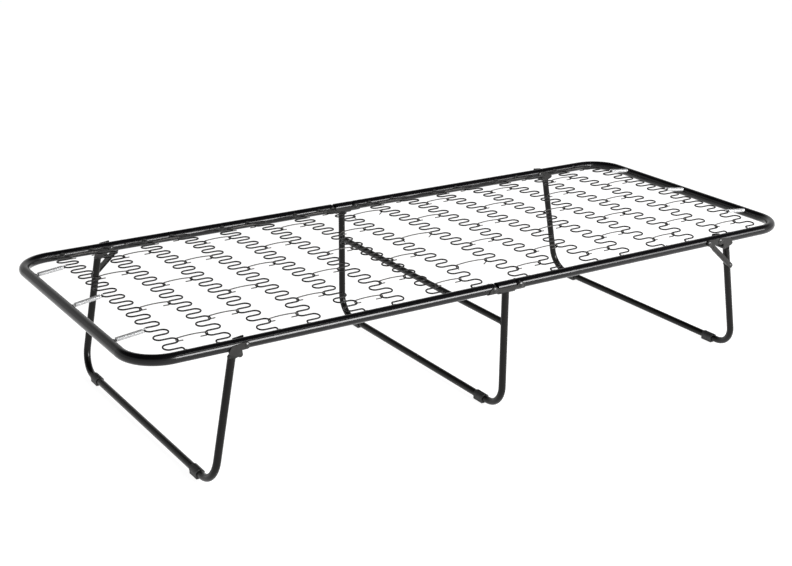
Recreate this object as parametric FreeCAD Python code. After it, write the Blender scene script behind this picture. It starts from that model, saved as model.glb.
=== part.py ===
import FreeCAD, Part
import math
import os

from FreeCAD import Vector, Rotation, Placement

os.makedirs("parts", exist_ok=True)

# ---------------------------------------------------------------------------
# Folding cot: two half frames of bent tube that hinge on a centre leg unit,
# an end leg under each half, and a deck of arched zigzag spring wire.
# Millimetres. X along the bed, Y across it, Z up, floor at Z = 0,
# origin on the floor under the middle of the cot.
# ---------------------------------------------------------------------------

# overall
length = 1900.0            # outside of end rail to outside of end rail
rail_y = 383.0             # half distance between the side rails' centre lines
rail_z = 330.0             # height of the rails' centre line
rail_r = 12.5              # 25 mm frame tube
rail_wall = 1.5
corner_r = 85.0            # centre-line radius of the frame corners

# legs
leg_y = 386.0              # half distance between the upright leg tubes
leg_r = 9.0                # 18 mm leg tube
leg_wall = 1.5
bar_z = 12.0               # height of the bottom bars' centre line
leg_bend_r = 58.0
leg_top_x = 718.0          # end leg axis where it crosses the rail's height
leg_foot_x = 776.0         # end leg axis at the bottom bar
brace_drop = 93.0          # centre leg cross brace below the rail centre
brace_r = 8.0

# centre hinge
hinge_x = 38.5             # rivet position either side of the middle
chan_half = 52.0           # half length of the pressed channel
chan_ri = 12.8
chan_t = 1.8
chan_rise = 1.0            # how far the channel's sides stand above the rails' centre
ear_r = 7.6                # ears round the hinge rivets
pin_r = 4.0
pin_fit = 0.06             # radial running clearance on the hinge pins

# end leg brackets and stays (positions along X, Z counted from the rail centre)
piv_x, piv_dz = 707.0, -19.1      # end leg pivot
lock_x, lock_dz = 691.0, -1.0     # rivet that fixes the bracket to the rail
stay_x, stay_dz = 649.475, 0.0    # upper pivot of the stay, as far from the leg pivot as the stud is
slide_x, slide_dz = 731.59, -74.5  # stud on the leg that slides in the stay
plate_t = 2.0

# spring deck
wire_r = 1.9
link_r = 1.4
link_rise = 6.0            # slope, in degrees, at which a link wire leaves its hooks
row_first = 63.75          # first row from the middle
row_pitch = 110.5
rows_per_half = 8
run_pitch = 24.5           # spacing of the cross runs within a row
runs = 30
row_half = 22.0            # half width of a row, wire centre
hook_in = 17.75            # end hook offset from the row's centre line
deck_edge = 7.5            # wire height above the rail centre at the first run
deck_rise = 11.0           # further rise of the arch to the middle of the deck
arch_power = 4.0
grommet_r = 6.2             # bush in the rail round each row end

X, Y, Z = Vector(1, 0, 0), Vector(0, 1, 0), Vector(0, 0, 1)
kept = {}


def line(a, b):
    return Part.LineSegment(a, b).toShape()


def arc3(a, m, b):
    return Part.Arc(a, m, b).toShape()


def cyl(p, d, r, l):
    return Part.makeCylinder(r, l, p, d)


def fillet_path(points, radii):
    """Straight runs joined by tangent arcs through the given corner points."""
    edges, cur = [], points[0]
    for i in range(1, len(points) - 1):
        p, q, r = points[i - 1], points[i], points[i + 1]
        u, v = (p - q).normalize(), (r - q).normalize()
        half = math.acos(max(-1, min(1, u.dot(v)))) / 2
        rad = radii[i - 1]
        t = rad / math.tan(half)
        a, b = q + u * t, q + v * t
        c = q + (u + v).normalize() * (rad / math.sin(half))
        m = c + (q - c).normalize() * rad
        if (a - cur).Length > 1e-6:
            edges.append(line(cur, a))
        edges.append(arc3(a, m, b))
        cur = b
    edges.append(line(cur, points[-1]))
    return edges


def sweep(edges, r):
    """Round bar of radius r along tangent-continuous edges."""
    wire = Part.Wire(edges)
    e = wire.OrderedEdges[0]
    p = wire.OrderedVertexes[0].Point
    t = e.tangentAt(e.FirstParameter)
    if (e.valueAt(e.FirstParameter) - p).Length > 1e-6:
        t = e.tangentAt(e.LastParameter) * -1
    prof = Part.Wire([Part.Circle(p, t, r).toShape()])
    s = wire.makePipeShell([prof], True, True)
    if s.Volume < 0:
        s.reverse()
    return s


def tube(edges, r, wall):
    return sweep(edges, r).cut(sweep(edges, r - wall))


def slab(points, y0, y1):
    """Plate between two Y values from an outline of (x, z) corners."""
    w = Part.makePolygon([Vector(x, y0, z) for x, z in points] + [Vector(points[0][0], y0, points[0][1])])
    return Part.Face(w).extrude(Vector(0, y1 - y0, 0))


def hull2(circles, y0, y1):
    """Plate between two Y values: the taut outline round circles (x, z, r)."""
    pts = []
    for x, z, r in circles:
        for k in range(48):
            a = 2 * math.pi * k / 48
            pts.append((x + r * math.cos(a), z + r * math.sin(a)))
    pts = sorted(set((round(a, 5), round(b, 5)) for a, b in pts))

    def half(seq):
        out = []
        for p in seq:
            while len(out) > 1 and (out[-1][0] - out[-2][0]) * (p[1] - out[-2][1]) - (out[-1][1] - out[-2][1]) * (p[0] - out[-2][0]) <= 1e-9:
                out.pop()
            out.append(p)
        return out[:-1]
    return slab(half(pts) + half(pts[::-1]), y0, y1)


def dome(p, d, r, h):
    """Shallow domed rivet head of radius r and height h, base at p."""
    big = (r * r + h * h) / (2 * h)
    s = Part.makeSphere(big, p - d * (big - h))
    return s.common(cyl(p, d, r + 1, h + 1))


def union(shapes):
    s = shapes[0].fuse(list(shapes[1:])) if len(shapes) > 1 else shapes[0]
    return s.removeSplitter()


def keep(name, shape):
    kept[name] = shape


def mirror_y(s):
    return s.mirror(Vector(0, 0, 0), Y)


def turned(s):
    """The same piece on the other half of the cot, half a turn about Z."""
    t = s.copy()
    t.rotate(Vector(0, 0, 0), Z, 180)
    return t


def group(shapes):
    return Part.makeCompound(shapes)


def deck_z(y):
    y1 = run_pitch * (runs - 1) / 2
    return rail_z + deck_edge + deck_rise * (1 - abs(y / y1) ** arch_power)


# ---------------------------------------------------------------------------
# Centre leg unit
# ---------------------------------------------------------------------------

saddle_r = chan_ri + chan_t + 2.4
leg_path = fillet_path(
    [Vector(0, -leg_y, rail_z - 4), Vector(0, -leg_y, bar_z), Vector(0, leg_y, bar_z), Vector(0, leg_y, rail_z - 4)],
    [leg_bend_r, leg_bend_r])
c_leg = tube(leg_path, leg_r, leg_wall)
for s in (-1, 1):
    c_leg = c_leg.cut(cyl(Vector(-60, s * rail_y, rail_z), X, saddle_r, 120))
c_leg = max(c_leg.Solids, key=lambda q: q.Volume)
keep("centre_leg_tube", c_leg)

brace_z = rail_z - brace_drop
brace = cyl(Vector(0, -leg_y, brace_z), Y, brace_r, 2 * leg_y).cut(cyl(Vector(0, -leg_y - 1, brace_z), Y, brace_r - 1.5, 2 * leg_y + 2))
for s in (-1, 1):
    brace = brace.cut(cyl(Vector(0, s * leg_y, brace_z - 30), Z, leg_r, 60))
brace = max(brace.Solids, key=lambda q: q.Volume)
keep("centre_leg_cross_brace", brace)


def channel(side):
    yc = side * rail_y
    ro = chan_ri + chan_t

    def prof(r, up):
        e = [arc3(Vector(-chan_half, yc - r, rail_z), Vector(-chan_half, yc, rail_z - r), Vector(-chan_half, yc + r, rail_z)),
             line(Vector(-chan_half, yc + r, rail_z), Vector(-chan_half, yc + r, rail_z + up)),
             line(Vector(-chan_half, yc + r, rail_z + up), Vector(-chan_half, yc - r, rail_z + up)),
             line(Vector(-chan_half, yc - r, rail_z + up), Vector(-chan_half, yc - r, rail_z))]
        return Part.Face(Part.Wire(e)).extrude(Vector(2 * chan_half, 0, 0))
    s = prof(ro, chan_rise).cut(prof(chan_ri, chan_rise + 5))
    ears = []
    for d in (-1, 1):
        for y0, y1 in ((yc - ro, yc - chan_ri), (yc + chan_ri, yc + ro)):
            e = hull2([(d * hinge_x, rail_z + 0.6, ear_r), (d * hinge_x - 10.0, rail_z, 2.0), (d * hinge_x + 10.0, rail_z, 2.0)], y0, y1)
            ears.append(e.common(Part.makeBox(60, 60, 20, Vector(d * hinge_x - 30, yc - 30, rail_z))))
    s = union([s] + ears)
    for d in (-1, 1):
        s = s.cut(cyl(Vector(d * hinge_x, yc - 30, rail_z), Y, pin_r, 60))
    return s


def rail_stub(side):
    """Filler in the channel between the two half frames, flush with the rails."""
    yc = side * rail_y
    s = cyl(Vector(-25.6, yc, rail_z), X, rail_r, 51.2)
    low = cyl(Vector(-25.6, yc, rail_z), X, chan_ri, 51.2).common(Part.makeBox(60, 40, 14, Vector(-30, yc - 20, rail_z - 14)))
    return s.fuse(low).removeSplitter().cut(cyl(Vector(-26, yc, rail_z), X, rail_r - rail_wall, 52))


def saddle(side):
    yc = side * rail_y
    s = cyl(Vector(-22, yc, rail_z), X, saddle_r, 44).cut(cyl(Vector(-23, yc, rail_z), X, chan_ri + chan_t, 46))
    w = Part.makeBox(44, 26, 30, Vector(-22, yc - 13, rail_z - 30))
    return s.common(w)


def hinge_pin(x, side):
    yc = side * rail_y
    ro = chan_ri + chan_t
    s = cyl(Vector(x, yc - ro, rail_z), Y, pin_r, 2 * ro)
    return union([s, dome(Vector(x, yc + ro, rail_z), Y, 6.8, 2.2), dome(Vector(x, yc - ro, rail_z), Y * -1, 6.8, 2.2)])


keep("hinge_channel_near", channel(-1))
keep("hinge_channel_far", channel(1))
keep("centre_rail_stubs", group([rail_stub(-1), rail_stub(1)]))
keep("centre_leg_saddles", group([saddle(-1), saddle(1)]))
keep("hinge_pins_left", group([hinge_pin(-hinge_x, -1), hinge_pin(-hinge_x, 1)]))
keep("hinge_pins_right", group([hinge_pin(hinge_x, -1), hinge_pin(hinge_x, 1)]))


def foot(x, y):
    """Clip-on plastic pad round the bottom bar."""
    wide = 36.0
    body = cyl(Vector(x, y - wide / 2, bar_z), Y, leg_r + 2.4, wide)
    pad = Part.makeBox(21, wide, bar_z, Vector(x - 10.5, y - wide / 2, 0))
    pad = pad.makeChamfer(1.2, [e for e in pad.Edges if abs(e.CenterOfMass.z) < 1e-6])
    s = body.fuse(pad).cut(cyl(Vector(x, y - 40, bar_z), Y, leg_r, 80))
    s = s.common(Part.makeBox(60, 60, 60, Vector(x - 30, y - 30, 0)))
    # split line on top of the clip
    s = s.cut(Part.makeBox(2.0, wide + 2, 8, Vector(x - 1.0, y - wide / 2 - 1, bar_z + leg_r - 1)))
    return s.removeSplitter()


foot_y = 300.0
keep("centre_leg_feet", group([foot(0, -foot_y), foot(0, foot_y)]))


# ---------------------------------------------------------------------------
# Spring deck
# ---------------------------------------------------------------------------

def run_y(i):
    """Y of cross run i, counted 1..runs from the near side."""
    return (i - (runs + 1) / 2) * run_pitch


def spring_row(xc, hook):
    """Zigzag row across the bed. hook = +1 or -1: the side its ends turn to."""
    half = run_pitch / 2
    flat = row_half - half
    pts = []
    for i in range(1, runs + 1):
        pts.append((run_y(i), deck_z(run_y(i))))
    edges = []
    # near end: out of the rail, round into the first run
    ry, rz = -rail_y, rail_z
    xh = xc + hook * hook_in

    def end_piece(first):
        sgn = -1 if first else 1
        y1, z1 = pts[0] if first else pts[-1]
        q = Vector(xh, y1, z1)
        rail = Vector(xh, sgn * rail_y, rail_z)
        u = (rail - q).normalize()
        a = rail - u * 6.0
        bend = 5.0
        p1 = q + u * bend
        p2 = q - X * (hook * bend)
        c = q + u * bend - X * (hook * bend)
        m = c + (q - c).normalize() * bend
        return a, p1, m, p2

    a, p1, m, p2 = end_piece(True)
    edges += [line(a, p1), arc3(p1, m, p2)]
    cur = p2
    side = -hook
    for i in range(runs - 1):
        y0, z0 = pts[i]
        y1, z1 = pts[i + 1]
        s = Vector(xc + side * flat, y0, z0)
        e = Vector(xc + side * flat, y1, z1)
        edges.append(line(cur, s))
        rad = (e - s).Length / 2
        mid = (s + e) * 0.5 + X * (side * rad)
        edges.append(arc3(s, mid, e))
        cur = e
        side = -side
    a2, q1, m2, q2 = end_piece(False)
    edges += [line(cur, q2), arc3(q2, m2, q1), line(q1, a2)]
    return sweep(edges, wire_r)


def turn_x(xc, side):
    """X of the outermost wire centre of a row's turns on one side (level deck)."""
    return xc + side * row_half


def link(xa, xb, y, tail=13.0, droop=0.0):
    """Arched link wire with a long hook over the facing turns of two rows."""
    z = deck_z_turn(y)
    h = wire_r + link_r + 0.55
    a = math.radians(link_rise)
    b = math.radians(droop)
    big = ((xb - xa) / 2 + h * math.sin(a)) / math.sin(a)
    xm = (xa + xb) / 2
    zc = z + h * math.cos(a) - big * math.cos(a)

    def on_hook(xc, ang):
        return Vector(xc + h * math.cos(ang), y, z + h * math.sin(ang))

    def half(xc, k):
        """Tail and hook at one end; k = +1 where the link runs towards +X."""
        p0 = on_hook(xc, -math.pi / 2 - k * b)
        t0 = p0 + Vector(k * math.cos(b), 0, -math.sin(b)) * tail
        p1 = on_hook(xc, math.pi / 2 + k * a)
        m = on_hook(xc, math.pi if k > 0 else 0.0)
        return t0, p0, m, p1
    t0, p0, m0, p1 = half(xa, 1)
    t1, q0, m1, q1 = half(xb, -1)
    e = [line(t0, p0), arc3(p0, m0, p1),
         arc3(p1, Vector(xm, y, zc + big), q1),
         arc3(q1, m1, q0), line(q0, t1)]
    return sweep(e, link_r)


def deck_z_turn(y):
    """Height of a turn's outermost point midway between its two cross runs."""
    k = round(y / run_pitch)
    return (deck_z((k - 0.5) * run_pitch) + deck_z((k + 0.5) * run_pitch)) / 2


row_x = [row_first + row_pitch * k for k in range(rows_per_half)]
row_hook = [1 if k % 2 == 0 else -1 for k in range(rows_per_half)]
inner_y = [13 * run_pitch, 5 * run_pitch, -5 * run_pitch, -13 * run_pitch]
outer_y = [10 * run_pitch, 0.0, -10 * run_pitch]

base_row = {h: spring_row(0.0, h) for h in (1, -1)}
for k in range(rows_per_half):
    r = base_row[row_hook[k]].copy()
    r.translate(Vector(row_x[k], 0, 0))
    keep("right_spring_row_%d" % (k + 1), r)
    keep("left_spring_row_%d" % (k + 1), turned(r))

links = []
for k in range(rows_per_half - 1):
    ys = inner_y if k % 2 == 0 else outer_y
    for y in ys:
        links.append(link(turn_x(row_x[k], 1), turn_x(row_x[k + 1], -1), y))
keep("right_link_wires", group(links))
keep("left_link_wires", turned(group(links)))
keep("centre_link_wires", group([link(-turn_x(row_x[0], -1), turn_x(row_x[0], -1), y, 9.0, 38.0) for y in outer_y]))

# tension springs between the outermost row and the end rail
end_x = length / 2 - rail_r
spring_or, spring_ir = 5.2, 3.4
hole_a = math.radians(42)


def tension_spring(y):
    a = Vector(turn_x(row_x[-1], 1), y, deck_z_turn(y))
    b = Vector(end_x - rail_r * math.cos(hole_a), y, rail_z + rail_r * math.sin(hole_a))
    d = (b - a).normalize()
    n = (b - a).Length
    ring = Part.makeTorus(3.9, 1.0, a, Y)
    coil_len = n - 1.6 - 5.0
    s = cyl(a + d * 1.6, d, spring_or, coil_len).cut(cyl(a + d * 0.6, d, spring_ir, coil_len - 1.0))
    tip = cyl(a + d * (1.6 + coil_len), d, 1.2, 5.0 + 5.0)
    return union([s, ring, tip]), b, d


springs, spring_holes = [], []
for y in outer_y:
    s, b, d = tension_spring(y)
    springs.append(s)
    spring_holes.append(cyl(b - d * 6, d, 1.7, 12))
keep("right_end_tension_springs", group(springs))
keep("left_end_tension_springs", turned(group(springs)))

# ---------------------------------------------------------------------------
# Half frame
# ---------------------------------------------------------------------------

plug_x = hinge_x + 9.5       # where the tube ends and the end fitting starts
frame_path = fillet_path(
    [Vector(plug_x, -rail_y, rail_z), Vector(end_x, -rail_y, rail_z), Vector(end_x, rail_y, rail_z), Vector(plug_x, rail_y, rail_z)],
    [corner_r, corner_r])
frame = tube(frame_path, rail_r, rail_wall)
cuts = list(spring_holes)
q_dir = Vector(0, run_y(runs) - rail_y, deck_z(run_y(runs)) - rail_z).normalize()
for k in range(rows_per_half):
    xh = row_x[k] + row_hook[k] * hook_in
    for s in (-1, 1):
        d = Vector(0, s * q_dir.y, q_dir.z)
        cuts.append(cyl(Vector(xh, s * rail_y, rail_z) + d * 7, d, wire_r + 0.45, 8))
for s in (-1, 1):
    cuts.append(cyl(Vector(lock_x, s * rail_y - 20, rail_z + lock_dz), Y, 3.5, 40))
cuts.append(cyl(Vector(stay_x, -rail_y - 20, rail_z + stay_dz), Y, 3.5, 40))
frame = frame.cut(cuts)
frame = max(frame.Solids, key=lambda q: q.Volume)
keep("right_frame_tube", frame)
keep("left_frame_tube", turned(frame))


def grommet(side):
    """Domed bush in the rail's inner side, round a row's end wire."""
    c = Vector(0, side * rail_y, rail_z)
    d = Vector(0, side * q_dir.y, q_dir.z)
    g = union([cyl(c + d * 8.0, d, grommet_r, 5.6), dome(c + d * 13.6, d, grommet_r, 2.6)])
    g = g.cut(cyl(Vector(-20, side * rail_y, rail_z), X, rail_r + 0.02, 40))
    g = max(g.Solids, key=lambda q: (q.CenterOfMass - c).dot(d))
    return g.cut(cyl(c, d, wire_r + 0.12, 40))


base_grommets = group([grommet(-1), grommet(1)])
bushes = []
for k in range(rows_per_half):
    g = base_grommets.copy()
    g.translate(Vector(row_x[k] + row_hook[k] * hook_in, 0, 0))
    bushes += g.Solids
keep("right_wire_bushes", group(bushes))
keep("left_wire_bushes", turned(group(bushes)))


def end_plug(side):
    yc = side * rail_y
    p = Vector(hinge_x, yc, rail_z)
    s = union([Part.makeSphere(rail_r, p), cyl(p, X, rail_r, plug_x - hinge_x)])
    s = s.cut(Part.makeBox(2, 60, 60, Vector(plug_x, yc - 30, rail_z - 30)))
    s = s.fuse(cyl(p + X * (plug_x - hinge_x - 1), X, rail_r - rail_wall, 26)).removeSplitter()
    return s.cut(cyl(Vector(hinge_x, yc - 30, rail_z), Y, pin_r + pin_fit, 60))


plugs = group([end_plug(-1), end_plug(1)])
keep("right_hinge_end_plugs", plugs)
keep("left_hinge_end_plugs", turned(plugs))

# ---------------------------------------------------------------------------
# End leg brackets (near side geometry, mirrored for the far side)
# ---------------------------------------------------------------------------

out_face = rail_r + 0.3      # plate faces, counted from the rail's centre plane
zr = rail_z


def bracket(with_strap, lip):
    """Pressed cradle bracket round the underside of the rail, near side (Y
    negative). lip = "in" or "out": the side plate that reaches up the rail."""
    yo0, yo1 = -(rail_y + out_face + plate_t), -(rail_y + out_face)
    yi0, yi1 = -(rail_y - out_face), -(rail_y - out_face - plate_t)
    px, pz = piv_x, zr + piv_dz
    body = [(lock_x, zr + lock_dz, 8.2), (722.0, zr - 3.0, 7.0)]
    drop = [(px, pz, 5.9), (729.0, zr - 11.5, 4.6), (722.0, zr - 3.0, 7.0), (707.0, zr - 6.0, 4.0)]
    raised = [(686.5, zr + 11.0, 1.5), (710.0, zr + 8.5, 1.5), (710.0, zr - 2.0, 1.5), (686.5, zr - 2.0, 1.5)]

    def plate(y0, y1, strap, tall):
        p = hull2(body, y0, y1).fuse(hull2(drop, y0, y1))
        if strap:
            p = p.fuse(hull2([(stay_x, zr + stay_dz, 8.5), (lock_x, zr + lock_dz, 7.0)], y0, y1))
        if tall:
            p = p.fuse(hull2(raised, y0, y1))
        return p
    # the web follows the rail's underside, outboard of the leg's pivot
    x0, x1 = 721.0, 728.5
    ring = cyl(Vector(x0, -rail_y, zr), X, rail_r + 0.3 + plate_t, x1 - x0).cut(cyl(Vector(x0 - 1, -rail_y, zr), X, rail_r + 0.3, x1 - x0 + 2))
    ring = ring.common(Part.makeBox(x1 - x0, 60, 30, Vector(x0, -rail_y - 30, zr - 30)))
    s = union([plate(yo0, yo1, with_strap, lip == "out"), plate(yi0, yi1, False, lip == "in"), ring])
    s = s.cut(cyl(Vector(px, -rail_y - 30, pz), Y, pin_r, 60))
    s = s.cut(cyl(Vector(lock_x, -rail_y - 30, zr + lock_dz), Y, 3.5, 60))
    if with_strap:
        s = s.cut(cyl(Vector(stay_x, -rail_y - 30, zr + stay_dz), Y, 3.5, 60))
        # raised disc round the bracket rivet
        disc = cyl(Vector(lock_x, yo0, zr + lock_dz), Y * -1, 9.0, 0.8).cut(cyl(Vector(lock_x, yo0 + 1, zr + lock_dz), Y * -1, 3.5, 5))
        s = s.fuse(disc)
    return s.removeSplitter()


keep("right_leg_bracket_near", bracket(True, "in"))
keep("right_leg_bracket_far", mirror_y(bracket(False, "out")))
keep("left_leg_bracket_far", turned(bracket(True, "out")))
keep("left_leg_bracket_near", turned(mirror_y(bracket(False, "in"))))


def through_rivet(x, z, extra=0.0):
    y0 = -(rail_y + out_face + plate_t + extra)
    y1 = -(rail_y - out_face - plate_t)
    return union([cyl(Vector(x, y0, z), Y, 3.5, y1 - y0),
                  dome(Vector(x, y0, z), Y * -1, 6.0, 1.8), dome(Vector(x, y1, z), Y, 6.0, 1.8)])


riv = group([through_rivet(lock_x, zr + lock_dz, 0.8), mirror_y(through_rivet(lock_x, zr + lock_dz))])
keep("right_bracket_rivets", riv)
keep("left_bracket_rivets", turned(riv))

lug_t = 10.0
lug_y0, lug_y1 = -(leg_y + lug_t / 2), -(leg_y - lug_t / 2)


def pivot_pin():
    """Shouldered end leg pivot, fixed in the bracket's two plates."""
    x, z = piv_x, zr + piv_dz
    yo0, yo1 = -(rail_y + out_face + plate_t), -(rail_y + out_face)
    yi0, yi1 = -(rail_y - out_face), -(rail_y - out_face - plate_t)
    s = [cyl(Vector(x, yo0, z), Y, pin_r, yi1 - yo0),
         dome(Vector(x, yo0, z), Y * -1, 4.8, 0.6), dome(Vector(x, yi1, z), Y, 4.8, 0.6),
         cyl(Vector(x, yo1, z), Y, 5.9, lug_y0 - 0.3 - yo1), cyl(Vector(x, lug_y1 + 0.3, z), Y, 5.9, yi0 - lug_y1 - 0.3)]
    return union(s)


pins = group([pivot_pin(), mirror_y(pivot_pin())])
keep("right_leg_pivot_pins", pins)
keep("left_leg_pivot_pins", turned(pins))

# ---------------------------------------------------------------------------
# End leg: tube, top lugs, feet, stay stud
# ---------------------------------------------------------------------------

ux, uz = leg_foot_x - leg_top_x, bar_z - rail_z
ul = math.hypot(ux, uz)
ux, uz = ux / ul, uz / ul
top_t = 27.3


def on_leg(t, off=0.0):
    """(x, z) on the leg's axis, t mm below the rail centre height, off outboard."""
    return leg_top_x + ux * t - uz * off, rail_z + uz * t + ux * off


tx, tz = on_leg(top_t)
e_path = fillet_path(
    [Vector(tx, -leg_y, tz), Vector(leg_foot_x, -leg_y, bar_z), Vector(leg_foot_x, leg_y, bar_z), Vector(tx, leg_y, tz)],
    [leg_bend_r, leg_bend_r])
e_leg = tube(e_path, leg_r, leg_wall)
e_leg = e_leg.cut(cyl(Vector(slide_x, -leg_y - 20, rail_z + slide_dz), Y, pin_r, 40))
e_leg = max(e_leg.Solids, key=lambda q: q.Volume)
keep("right_leg_tube", e_leg)
keep("left_leg_tube", turned(e_leg))


def lug():
    y0, y1 = lug_y0, lug_y1
    head = hull2([(piv_x, zr + piv_dz, 6.2), on_leg(23.0, 3.5) + (3.5,), on_leg(top_t - 1.0, -4.5) + (2.0,), on_leg(top_t - 1.0, 6.5) + (2.0,)], y0, y1)
    head = head.cut(slab([on_leg(top_t, -30), on_leg(top_t, 30), on_leg(top_t + 40, 30), on_leg(top_t + 40, -30)], y0 - 1, y1 + 1))
    tang = slab([on_leg(top_t - 4, -5.5), on_leg(top_t - 4, 5.5), on_leg(top_t + 26, 5.5), on_leg(top_t + 26, -5.5)], y0, y1)
    core = cyl(Vector(tx, -leg_y, tz), Vector(ux, 0, uz), leg_r - leg_wall, 40)
    stem = tang.common(core)
    s = union([head, stem])
    return s.cut(cyl(Vector(piv_x, -leg_y - 20, zr + piv_dz), Y, pin_r + pin_fit, 40))


lugs = group([lug(), mirror_y(lug())])
keep("right_leg_top_lugs", lugs)
keep("left_leg_top_lugs", turned(lugs))

e_feet = group([foot(leg_foot_x, -foot_y), foot(leg_foot_x, foot_y)])
keep("right_leg_feet", e_feet)
keep("left_leg_feet", turned(e_feet))

web_in = 16.0                # stay web, inner face, from the rail's centre plane
web_t = 1.5
stud_head = 5.0
stud_y0 = -(rail_y + web_in - 0.3)
stud = union([cyl(Vector(slide_x, -(leg_y + leg_r + 1.4), zr + slide_dz), Y, pin_r, 2 * leg_r + 3.4),
              cyl(Vector(slide_x, stud_y0, zr + slide_dz), Y, stud_head, 2.4)])
keep("right_leg_stay_stud", stud)
keep("left_leg_stay_stud", turned(stud))

# ---------------------------------------------------------------------------
# Stay: pressed channel, open towards the leg, hinged on the rail
# ---------------------------------------------------------------------------

dx, dz = slide_x - stay_x, slide_dz - stay_dz
reach = math.hypot(dx, dz)
dx, dz = dx / reach, dz / reach
chan_w = 5.35
fl_t = 1.35


def on_stay(s, off=0.0):
    """(x, z) at s mm from the stay's pivot along it, off to its upper side."""
    return stay_x + dx * s - dz * off, zr + stay_dz + dz * s + dx * off


yw1 = -(rail_y + web_in)
yw0 = yw1 - web_t
yf = -(leg_y + leg_r + 0.6)
w_out = chan_w + fl_t
outline = [on_stay(0) + (w_out,), on_stay(reach) + (w_out,)]
web = hull2(outline, yw0, yw1)
# the two flanges join round the stud's place at the lower end
walls = hull2(outline, yw1, yf)
walls = walls.cut(hull2([on_stay(-30) + (chan_w,), on_stay(reach) + (chan_w,)], yw1 - 1, yf + 1))
walls = walls.cut(slab([on_stay(-30, -20), on_stay(22, -20), on_stay(22, 20), on_stay(-30, 20)], yw1 - 1, yf + 1))
ex, ez = on_stay(reach)
stay = union([web, walls])
stay = stay.cut(cyl(Vector(stay_x, -rail_y - 30, zr + stay_dz), Y, pin_r + pin_fit, 60))
# pressed rib along the outside of the web and a pressed dome over the stud's place
rib = hull2([on_stay(20) + (2.0,), on_stay(reach - 15) + (2.0,)], yw0 - 0.7, yw0)
stay = union([stay, rib, dome(Vector(ex, yw0 + 0.3, ez), Y * -1, 5.2, 1.8)])
keep("right_stay_channel", stay)
keep("left_stay_channel", turned(stay))

yo0 = -(rail_y + out_face + plate_t)
yin = -(rail_y - rail_r)
s_piv = union([cyl(Vector(stay_x, yo0, zr + stay_dz), Y, 3.5, yin + 1.0 - yo0),
               dome(Vector(stay_x, yin + 0.4, zr + stay_dz), Y, 6.0, 1.8),
               cyl(Vector(stay_x, yw1 + 0.15, zr + stay_dz), Y, 5.8, yo0 - yw1 - 0.15),
               cyl(Vector(stay_x, yw0 - 0.2, zr + stay_dz), Y, pin_r, web_t + 1.0),
               dome(Vector(stay_x, yw0 - 0.2, zr + stay_dz), Y * -1, 6.0, 2.0)])
keep("right_stay_pivot_rivet", s_piv)
keep("left_stay_pivot_rivet", turned(s_piv))

# ---------------------------------------------------------------------------

for name, shape in kept.items():
    n = len(shape.Solids)
    ok = shape.isValid()
    print("%-28s solids %2d valid %s volume %.1f" % (name, n, ok, shape.Volume))
    shape.exportStep("parts/%s.step" % name)
print(len(kept), "nodes")
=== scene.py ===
import math

import bmesh
import bpy
from mathutils import Matrix, Vector


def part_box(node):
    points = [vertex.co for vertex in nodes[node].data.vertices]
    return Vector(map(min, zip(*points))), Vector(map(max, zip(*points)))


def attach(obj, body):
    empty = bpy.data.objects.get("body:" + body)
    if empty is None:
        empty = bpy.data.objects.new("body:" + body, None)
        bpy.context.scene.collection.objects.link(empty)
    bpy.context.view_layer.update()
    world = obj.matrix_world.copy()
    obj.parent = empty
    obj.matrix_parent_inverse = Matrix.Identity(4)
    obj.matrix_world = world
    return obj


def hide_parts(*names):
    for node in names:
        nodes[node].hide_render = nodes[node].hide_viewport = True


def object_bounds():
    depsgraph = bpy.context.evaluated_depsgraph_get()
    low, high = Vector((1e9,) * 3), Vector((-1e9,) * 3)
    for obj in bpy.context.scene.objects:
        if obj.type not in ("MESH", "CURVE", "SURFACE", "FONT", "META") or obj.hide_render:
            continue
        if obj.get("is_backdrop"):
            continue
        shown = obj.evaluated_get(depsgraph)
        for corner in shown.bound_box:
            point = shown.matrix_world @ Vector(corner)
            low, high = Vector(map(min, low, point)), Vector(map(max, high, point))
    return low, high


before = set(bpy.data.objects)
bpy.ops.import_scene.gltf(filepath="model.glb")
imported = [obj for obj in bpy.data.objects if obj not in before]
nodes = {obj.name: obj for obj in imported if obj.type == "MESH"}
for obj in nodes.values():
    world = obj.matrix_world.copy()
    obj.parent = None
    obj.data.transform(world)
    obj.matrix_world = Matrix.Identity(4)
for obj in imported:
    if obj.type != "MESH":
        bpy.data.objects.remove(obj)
cad_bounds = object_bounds()
scene = bpy.context.scene


# ---------------------------------------------------------------- materials

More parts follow.
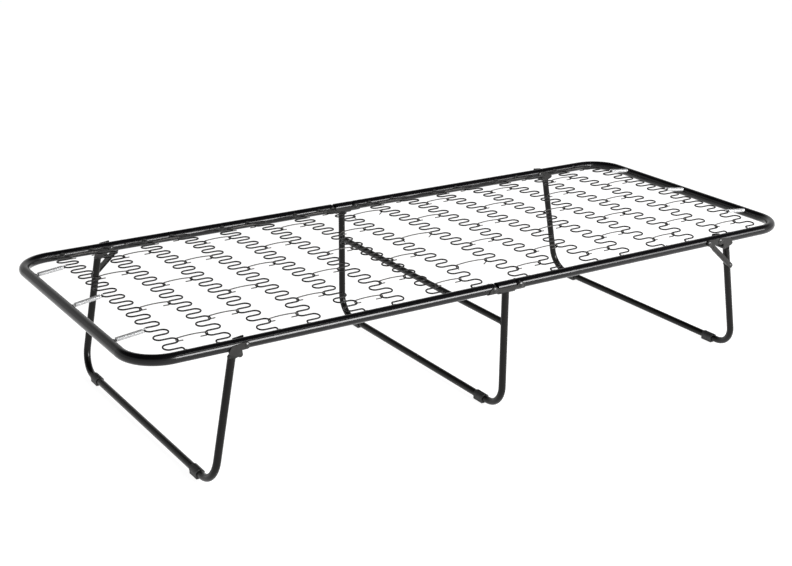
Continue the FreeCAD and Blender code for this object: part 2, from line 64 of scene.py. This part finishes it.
class Mat:
    """A principled material with helpers for procedural detail."""

    def __init__(self, name):
        self.m = bpy.data.materials.new(name)
        self.m.use_nodes = True
        self.nt = self.m.node_tree
        self.nt.nodes.clear()
        self.out = self.nt.nodes.new("ShaderNodeOutputMaterial")
        self.b = self.nt.nodes.new("ShaderNodeBsdfPrincipled")
        self.link(self.b.outputs[0], self.out.inputs[0])
        self.tc = self.nt.nodes.new("ShaderNodeTexCoord")
        self.normal = None

    def link(self, a, b):
        self.nt.links.new(a, b)

    def set(self, **kw):
        names = dict(metallic="Metallic", ior="IOR", coat="Coat Weight", coat_rough="Coat Roughness",
                     spec="Specular IOR Level", aniso="Anisotropic", rough="Roughness")
        for k, v in kw.items():
            self.b.inputs[names[k]].default_value = v

    def coords(self, stretch=(1, 1, 1)):
        mp = self.nt.nodes.new("ShaderNodeMapping")
        mp.inputs["Scale"].default_value = stretch
        self.link(self.tc.outputs["Object"], mp.inputs["Vector"])
        return mp.outputs["Vector"]

    def noise(self, scale, detail=4.0, rough=0.55, distort=0.0, stretch=(1, 1, 1)):
        n = self.nt.nodes.new("ShaderNodeTexNoise")
        n.inputs["Scale"].default_value = scale
        n.inputs["Detail"].default_value = detail
        n.inputs["Roughness"].default_value = rough
        n.inputs["Distortion"].default_value = distort
        self.link(self.coords(stretch), n.inputs["Vector"])
        return n.outputs["Fac"]

    def cells(self, scale, stretch=(1, 1, 1), out="Distance"):
        n = self.nt.nodes.new("ShaderNodeTexVoronoi")
        n.inputs["Scale"].default_value = scale
        self.link(self.coords(stretch), n.inputs["Vector"])
        return n.outputs[out]

    def span(self, src, lo, hi, a=0.0, b=1.0):
        r = self.nt.nodes.new("ShaderNodeMapRange")
        r.inputs["From Min"].default_value = lo
        r.inputs["From Max"].default_value = hi
        r.inputs["To Min"].default_value = a
        r.inputs["To Max"].default_value = b
        self.link(src, r.inputs["Value"])
        return r.outputs["Result"]

    def math(self, op, a, b):
        n = self.nt.nodes.new("ShaderNodeMath")
        n.operation = op
        for i, v in enumerate((a, b)):
            if isinstance(v, (int, float)):
                n.inputs[i].default_value = v
            else:
                self.link(v, n.inputs[i])
        return n.outputs[0]

    def ramp(self, src, stops):
        r = self.nt.nodes.new("ShaderNodeValToRGB")
        while len(r.color_ramp.elements) > 1:
            r.color_ramp.elements.remove(r.color_ramp.elements[-1])
        r.color_ramp.elements[0].position = stops[0][0]
        r.color_ramp.elements[0].color = (*stops[0][1], 1)
        for p, c in stops[1:]:
            e = r.color_ramp.elements.new(p)
            e.color = (*c, 1)
        self.link(src, r.inputs["Fac"])
        return r.outputs["Color"]

    def mix(self, fac, a, b):
        n = self.nt.nodes.new("ShaderNodeMix")
        n.data_type = "RGBA"
        self.link(fac, n.inputs[0])
        for i, v in ((6, a), (7, b)):
            if isinstance(v, tuple):
                n.inputs[i].default_value = (*v, 1)
            else:
                self.link(v, n.inputs[i])
        return n.outputs[2]

    def bump(self, height, strength, distance):
        n = self.nt.nodes.new("ShaderNodeBump")
        n.inputs["Strength"].default_value = strength
        n.inputs["Distance"].default_value = distance
        self.link(height, n.inputs["Height"])
        if self.normal is not None:
            self.link(self.normal, n.inputs["Normal"])
        self.normal = n.outputs["Normal"]
        self.link(self.normal, self.b.inputs["Normal"])

    def color(self, src):
        self.link(src, self.b.inputs["Base Color"])

    def rough(self, src):
        self.link(src, self.b.inputs["Roughness"])


def gloss_paint(name, dark, light, rough_lo, rough_hi, coat=0.0, spec=0.5):
    """Sprayed and baked paint: faint orange peel, a little dust, hairline scuffs."""
    m = Mat(name)
    base = m.ramp(m.noise(14, 5, 0.6), [(0.3, dark), (0.7, light)])
    dust = m.span(m.cells(560), 0.05, 0.13, 1.0, 0.0)
    patch = m.span(m.noise(55, 3), 0.55, 0.72)
    speck = m.math("MULTIPLY", dust, patch)
    speck = m.math("MULTIPLY", speck, 0.35)
    m.color(m.mix(speck, base, (0.16, 0.155, 0.15)))
    scuff = m.span(m.noise(210, 2, 0.5, 0.4, (0.12, 1, 1)), 0.66, 0.74)
    r = m.span(m.noise(32, 6, 0.6), 0.3, 0.7, rough_lo, rough_hi)
    r = m.math("ADD", r, m.math("MULTIPLY", scuff, 0.16))
    r = m.math("ADD", r, m.math("MULTIPLY", speck, 0.3))
    m.rough(r)
    m.set(coat=coat, coat_rough=0.09, ior=1.5, spec=spec)
    m.bump(m.noise(330, 2, 0.5), 0.10, 0.0003)
    m.bump(m.noise(1500, 2, 0.5), 0.08, 0.00012)
    return m.m


def satin_paint(name, dark, light, rough_lo, rough_hi):
    """Powder coat with a fine texture on pressed steel."""
    m = Mat(name)
    base = m.ramp(m.noise(40, 6, 0.65), [(0.28, dark), (0.72, light)])
    chip = m.span(m.noise(260, 3, 0.6, 0.3), 0.72, 0.77)
    m.color(m.mix(chip, base, (0.12, 0.115, 0.108)))
    r = m.span(m.noise(75, 5, 0.6), 0.3, 0.7, rough_lo, rough_hi)
    m.rough(m.math("ADD", r, m.math("MULTIPLY", chip, 0.12)))
    m.set(ior=1.5, spec=0.38)
    m.bump(m.noise(820, 4, 0.6), 0.22, 0.00018)
    return m.m


def wire_steel(name, dark, light, metallic, rough_lo, rough_hi, spec=0.14):
    """Drawn and tempered spring wire: fine streaks and heat tint along it."""
    m = Mat(name)
    base = m.ramp(m.noise(60, 5, 0.6), [(0.3, dark), (0.72, light)])
    m.color(base)
    m.rough(m.span(m.noise(420, 3, 0.6), 0.3, 0.7, rough_lo, rough_hi))
    m.set(metallic=metallic, spec=spec)
    m.bump(m.noise(1100, 3, 0.5), 0.16, 0.0001)
    return m.m


def zinc(name):
    m = Mat(name)
    spangle = m.cells(900, out="Color")
    bw = m.nt.nodes.new("ShaderNodeRGBToBW")
    m.link(spangle, bw.inputs[0])
    base = m.ramp(bw.outputs[0], [(0.0, (0.42, 0.425, 0.43)), (1.0, (0.64, 0.645, 0.65))])
    dull = m.span(m.noise(120, 4), 0.5, 0.75)
    m.color(m.mix(m.math("MULTIPLY", dull, 0.6), base, (0.44, 0.44, 0.435)))
    m.rough(m.span(m.noise(300, 3), 0.3, 0.7, 0.22, 0.42))
    m.set(metallic=0.55)
    m.bump(m.noise(1400, 2), 0.1, 0.0001)
    return m.m


def moulded(name):
    m = Mat(name)
    m.color(m.ramp(m.noise(90, 4), [(0.3, (0.010, 0.010, 0.010)), (0.7, (0.020, 0.020, 0.020))]))
    m.rough(m.span(m.noise(160, 4), 0.3, 0.7, 0.48, 0.66))
    m.set(ior=1.48)
    m.bump(m.cells(1300), 0.28, 0.0002)
    return m.m


mats = {
    "frame_gloss_black": gloss_paint("frame_gloss_black", (0.0016, 0.0015, 0.0019), (0.0036, 0.0034, 0.0040), 0.15, 0.22, 0.0, 0.30),
    "leg_satin_black": gloss_paint("leg_satin_black", (0.0020, 0.0018, 0.0016), (0.0046, 0.0042, 0.0038), 0.18, 0.28, 0.0, 0.19),
    "bracket_black": satin_paint("bracket_black", (0.0042, 0.0039, 0.0035), (0.0090, 0.0083, 0.0076), 0.28, 0.42),
    "rivet_black": satin_paint("rivet_black", (0.006, 0.0058, 0.0055), (0.014, 0.0134, 0.0128), 0.18, 0.30),
    "spring_wire": wire_steel("spring_wire", (0.0030, 0.0029, 0.0028), (0.0080, 0.0076, 0.0073), 0.0, 0.24, 0.40),
    "link_wire": wire_steel("link_wire", (0.030, 0.0290, 0.0280), (0.075, 0.0715, 0.0680), 0.45, 0.26, 0.42),
    "zinc_spring": zinc("zinc_spring"),
    "foot_plastic": moulded("foot_plastic"),
}

def slot_for(name):
    if "tension_springs" in name:
        return "zinc_spring"
    if "feet" in name or "bushes" in name:
        return "foot_plastic"
    if "spring_row" in name:
        return "spring_wire"
    if "link_wires" in name:
        return "link_wire"
    if "rivet" in name or "pins" in name or "stud" in name:
        return "rivet_black"
    if "frame_tube" in name or "end_plugs" in name or "rail_stubs" in name:
        return "frame_gloss_black"
    if "leg_tube" in name or "cross_brace" in name:
        return "leg_satin_black"
    return "bracket_black"


for name, o in nodes.items():
    mat = mats[slot_for(name)]
    if o.material_slots:
        for s in o.material_slots:
            s.material = mat
    else:
        o.data.materials.append(mat)


# ---------------------------------------------------------------- mesh tools

def mesh_object(name, verts, faces, mat, smooth=True):
    me = bpy.data.meshes.new(name)
    me.from_pydata(verts, [], faces)
    me.update()
    me.validate()
    if smooth:
        me.shade_smooth()
    o = bpy.data.objects.new(name, me)
    scene.collection.objects.link(o)
    me.materials.append(mat)
    return o


def tube_along(points, radius, sides=8, closed=False, verts=None, faces=None, radii=None):
    """Tube of even section along a polyline, by parallel transport, with round caps."""
    verts = [] if verts is None else verts
    faces = [] if faces is None else faces
    pts = [Vector(p) for p in points]
    n = len(pts)
    tang = []
    for i in range(n):
        if closed:
            t = pts[(i + 1) % n] - pts[i - 1]
        else:
            t = pts[min(i + 1, n - 1)] - pts[max(i - 1, 0)]
        tang.append(t.normalized())
    ref = Vector((0, 0, 1)) if abs(tang[0].z) < 0.9 else Vector((1, 0, 0))
    u = tang[0].cross(ref).normalized()
    base = len(verts)
    for i in range(n):
        if i:
            axis = tang[i - 1].cross(tang[i])
            if axis.length > 1e-9:
                u = Matrix.Rotation(tang[i - 1].angle(tang[i]), 3, axis.normalized()) @ u
        u = (u - tang[i] * u.dot(tang[i])).normalized()
        v = tang[i].cross(u)
        r = radii[i] if radii else radius
        for k in range(sides):
            a = 2 * math.pi * k / sides
            verts.append(tuple(pts[i] + (u * math.cos(a) + v * math.sin(a)) * r))
    rings = n if closed else n - 1
    for i in range(rings):
        j = (i + 1) % n
        for k in range(sides):
            k2 = (k + 1) % sides
            faces.append((base + i * sides + k, base + i * sides + k2, base + j * sides + k2, base + j * sides + k))
    if not closed:
        a = len(verts)
        verts.append(tuple(pts[0] - tang[0] * (radii[0] if radii else radius) * 0.5))
        b = len(verts)
        verts.append(tuple(pts[-1] + tang[-1] * (radii[-1] if radii else radius) * 0.5))
        for k in range(sides):
            k2 = (k + 1) % sides
            faces.append((a, base + k2, base + k))
            faces.append((b, base + (n - 1) * sides + k, base + (n - 1) * sides + k2))
    return verts, faces


# ---------------------------------------------------------------- end tension springs

def tension_spring_mesh(a, b, verts, faces):
    """Close-wound extension spring. a: centre of the row's turn that the loop holds, b: hole in the end rail."""
    d = (b - a).normalized()
    n = (b - a).length
    up = (Vector((0, 0, 1)) - d * d.z).normalized()
    side = d.cross(up)
    wr, cr = 0.00090, 0.0044
    start, coil_len = 0.0048, n - 0.0048 - 0.0040
    pitch = wr * 2.06
    turns = int(coil_len / pitch)
    pts = []
    # loop over the row's turn, opening towards the coil
    loop_r = 0.0037
    for i in range(15):
        t = math.radians(-128 + i * (256 / 14))
        pts.append(a - d * (loop_r * math.cos(t)) + up * (loop_r * math.sin(t)))
    pts.append(a + d * 0.0034 + up * 0.0033)
    seg = 14
    for i in range(turns * seg + 1):
        t = i / seg
        ang = 2 * math.pi * t + math.pi / 2
        c = a + d * (start + pitch * t)
        pts.append(c + (up * math.sin(ang) + side * math.cos(ang)) * cr)
    # straight tail that runs into the rail
    last = a + d * (start + pitch * turns)
    pts.append(last + d * 0.0016 + up * 0.0027)
    pts.append(last + d * 0.0034 + up * 0.0006)
    pts.append(b + d * 0.0015)
    tube_along(pts, wr, 7, False, verts, faces)


for side in ("left", "right"):
    name = side + "_end_tension_springs"
    lo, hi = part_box(name)
    src = nodes[name]
    co = [v.co for v in src.data.vertices]
    sgn = 1 if side == "right" else -1
    verts, faces = [], []
    rim_verts, rim_faces = [], []
    rail_lo, rail_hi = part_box(side + "_frame_tube")
    rail_zc = (rail_lo.z + rail_hi.z) / 2
    rail_rad = (rail_hi.z - rail_lo.z) / 2
    rail_xc = (rail_hi.x if sgn > 0 else -rail_lo.x) - rail_rad
    ys = (-0.245, 0.0, 0.245)
    for yc in ys:
        near = [c for c in co if abs(c.y - yc) < 0.02]
        x_in = min(sgn * c.x for c in near) + 0.0049     # centre of the ring at the row's end
        ring = [c for c in near if sgn * c.x < x_in + 0.0002]
        z_in = (min(c.z for c in ring) + max(c.z for c in ring)) / 2
        x_out = max(sgn * c.x for c in near)
        tip = [c for c in near if sgn * c.x > x_out - 0.0015]
        z_out = sum(c.z for c in tip) / len(tip)
        a = Vector((sgn * x_in, yc, z_in))
        b = Vector((sgn * x_out, yc, z_out))
        tension_spring_mesh(a, b - (b - a).normalized() * 0.0045, verts, faces)
        hole = math.radians(42)
        nrm = Vector((-sgn * math.cos(hole), 0, math.sin(hole)))
        hc = Vector((sgn * rail_xc, yc, rail_zc))
        e1 = Vector((0, 1, 0))
        e2 = nrm.cross(e1)
        ring_pts = []
        for i in range(28):
            t = 2 * math.pi * i / 28
            q = e1 * math.cos(t) * 0.0030 + e2 * math.sin(t) * 0.0030
            # lie on the tube's round surface
            off = q.dot(e2)
            ring_pts.append(hc + q + nrm * (math.sqrt(rail_rad ** 2 - off * off) + 0.0002))
        tube_along(ring_pts, 0.0009, 8, True, rim_verts, rim_faces)
    o = mesh_object(side + "_end_spring_coils", verts, faces, mats["zinc_spring"])
    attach(o, side + "_half")
    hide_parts(name)
    # pressed rims of the three holes that the springs' tangs enter
    rims = mesh_object(side + "_end_hole_rims", rim_verts, rim_faces, mats["rivet_black"])
    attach(rims, side + "_half")


# ---------------------------------------------------------------- weld beads

def bead_ring(name, centre, axis, radius, body, arc=(0, 360), bead=0.0016, ripple=9, flatten=None):
    """Rippled fillet weld round a round joint."""
    ax = Vector(axis).normalized()
    ref = Vector((0, 0, 1)) if abs(ax.z) < 0.9 else Vector((1, 0, 0))
    u = ax.cross(ref).normalized()
    v = ax.cross(u)
    a0, a1 = math.radians(arc[0]), math.radians(arc[1])
    full = abs(arc[1] - arc[0]) >= 360
    n = max(24, int(radius * abs(a1 - a0) / 0.0006))
    pts, radii = [], []
    for i in range(n if full else n + 1):
        t = a0 + (a1 - a0) * i / n
        p = Vector(centre) + (u * math.cos(t) + v * math.sin(t)) * radius
        if flatten is not None:
            p = flatten(p, t)
        pts.append(p)
        radii.append(bead * (0.86 + 0.16 * math.sin(i * 0.9) + 0.05 * math.sin(i * 0.37 + 1.1)))
    verts, faces = tube_along(pts, bead, 8, full, radii=radii)
    o = mesh_object(name, verts, faces, mats["leg_satin_black"])
    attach(o, body)
    return o


# cross brace meets the centre leg: the seam follows the leg tube's round side
brace_lo, brace_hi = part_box("centre_leg_cross_brace")
leg_lo, leg_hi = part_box("centre_leg_tube")
brace_r = (brace_hi.z - brace_lo.z) / 2
leg_r = (leg_hi.x - leg_lo.x) / 2
for tag, s in (("near", -1), ("far", 1)):
    yc = s * ((leg_hi.y - leg_lo.y) / 2 - leg_r)

    def seam(p, t, yc=yc, s=s):
        dx = p.x
        return Vector((p.x, yc - s * math.sqrt(max(leg_r ** 2 - dx * dx, 0)), p.z))
    bead_ring("brace_weld_" + tag, (0, yc - s * leg_r, (brace_lo.z + brace_hi.z) / 2), (0, 1, 0), brace_r + 0.0003, "centre_unit", flatten=seam)


# ---------------------------------------------------------------- floor, light, camera

floor_me = bpy.data.meshes.new("studio_floor")
R = 60.0
floor_me.from_pydata([(-R, -R, 0), (R, -R, 0), (R, R, 0), (-R, R, 0)], [], [(0, 1, 2, 3)])
floor = bpy.data.objects.new("studio_floor", floor_me)
scene.collection.objects.link(floor)
floor.location.z = -0.0006
fm = bpy.data.materials.new("studio_floor")
fm.use_nodes = True
fb = fm.node_tree.nodes["Principled BSDF"]
fb.inputs["Base Color"].default_value = (0.34, 0.34, 0.34, 1)
fb.inputs["Roughness"].default_value = 0.9
fb.inputs["Specular IOR Level"].default_value = 0.0
fb.inputs["Emission Color"].default_value = (1, 1, 1, 1)
fb.inputs["Emission Strength"].default_value = 0.93
floor_me.materials.append(fm)
floor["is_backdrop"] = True

world = bpy.data.worlds.new("studio")
scene.world = world
world.use_nodes = True
wt = world.node_tree
wt.nodes.clear()
wo = wt.nodes.new("ShaderNodeOutputWorld")
bg = wt.nodes.new("ShaderNodeBackground")
wt.links.new(bg.outputs[0], wo.inputs[0])
tc = wt.nodes.new("ShaderNodeTexCoord")
sx = wt.nodes.new("ShaderNodeSeparateXYZ")
wt.links.new(tc.outputs["Generated"], sx.inputs[0])
mr = wt.nodes.new("ShaderNodeMapRange")
mr.interpolation_type = "SMOOTHSTEP"
mr.inputs["From Min"].default_value = 0.36
mr.inputs["From Max"].default_value = 0.64
mr.inputs["To Min"].default_value = 0.70
mr.inputs["To Max"].default_value = 0.03
wt.links.new(sx.outputs["Z"], mr.inputs["Value"])
wt.links.new(mr.outputs["Result"], bg.inputs["Strength"])
bg.inputs["Color"].default_value = (1, 1, 1, 1)


def area(name, loc, target, size, power, color=(1, 1, 1)):
    ld = bpy.data.lights.new(name, "AREA")
    ld.shape = "RECTANGLE"
    ld.size, ld.size_y = size
    ld.energy = power
    ld.color = color
    o = bpy.data.objects.new(name, ld)
    scene.collection.objects.link(o)
    o.location = loc
    o.rotation_euler = (Vector(target) - Vector(loc)).to_track_quat("-Z", "Y").to_euler()
    return o


area("front_softbox", (1.3, -3.6, 1.45), (0.2, 0, 0.3), (2.4, 1.2), 240)
area("side_softbox", (3.3, -3.4, 1.6), (0.5, 0, 0.3), (1.6, 1.2), 65)
area("strip_light", (0.5, -2.0, 2.6), (-0.6, 0.38, 0.33), (1.0, 0.25), 6)

yaw, pitch, roll = map(math.radians, (32.5034, -19.6723, 0.4082))
fwd = Vector((math.sin(yaw) * math.cos(pitch), math.cos(yaw) * math.cos(pitch), math.sin(pitch)))
right = Vector((math.cos(yaw), -math.sin(yaw), 0))
up = right.cross(fwd)
r2 = math.cos(roll) * right + math.sin(roll) * up
u2 = -math.sin(roll) * right + math.cos(roll) * up
cam_data = bpy.data.cameras.new("camera")
cam = bpy.data.objects.new("camera", cam_data)
scene.collection.objects.link(cam)
cam.matrix_world = Matrix((
    (r2.x, u2.x, -fwd.x, -1.9389),
    (r2.y, u2.y, -fwd.y, -2.9440),
    (r2.z, u2.z, -fwd.z, 1.4798),
    (0, 0, 0, 1)))
cam_data.sensor_width = 36
cam_data.lens = 1429.715 / 792 * 36
cam_data.clip_end = 200
scene.camera = cam
scene.view_settings.view_transform = "Standard"


def plain(b):
    return [[float(x) for x in v] if hasattr(v, "__len__") else float(v) for v in b]


{"cad": plain(cad_bounds), "visual": plain(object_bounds())}
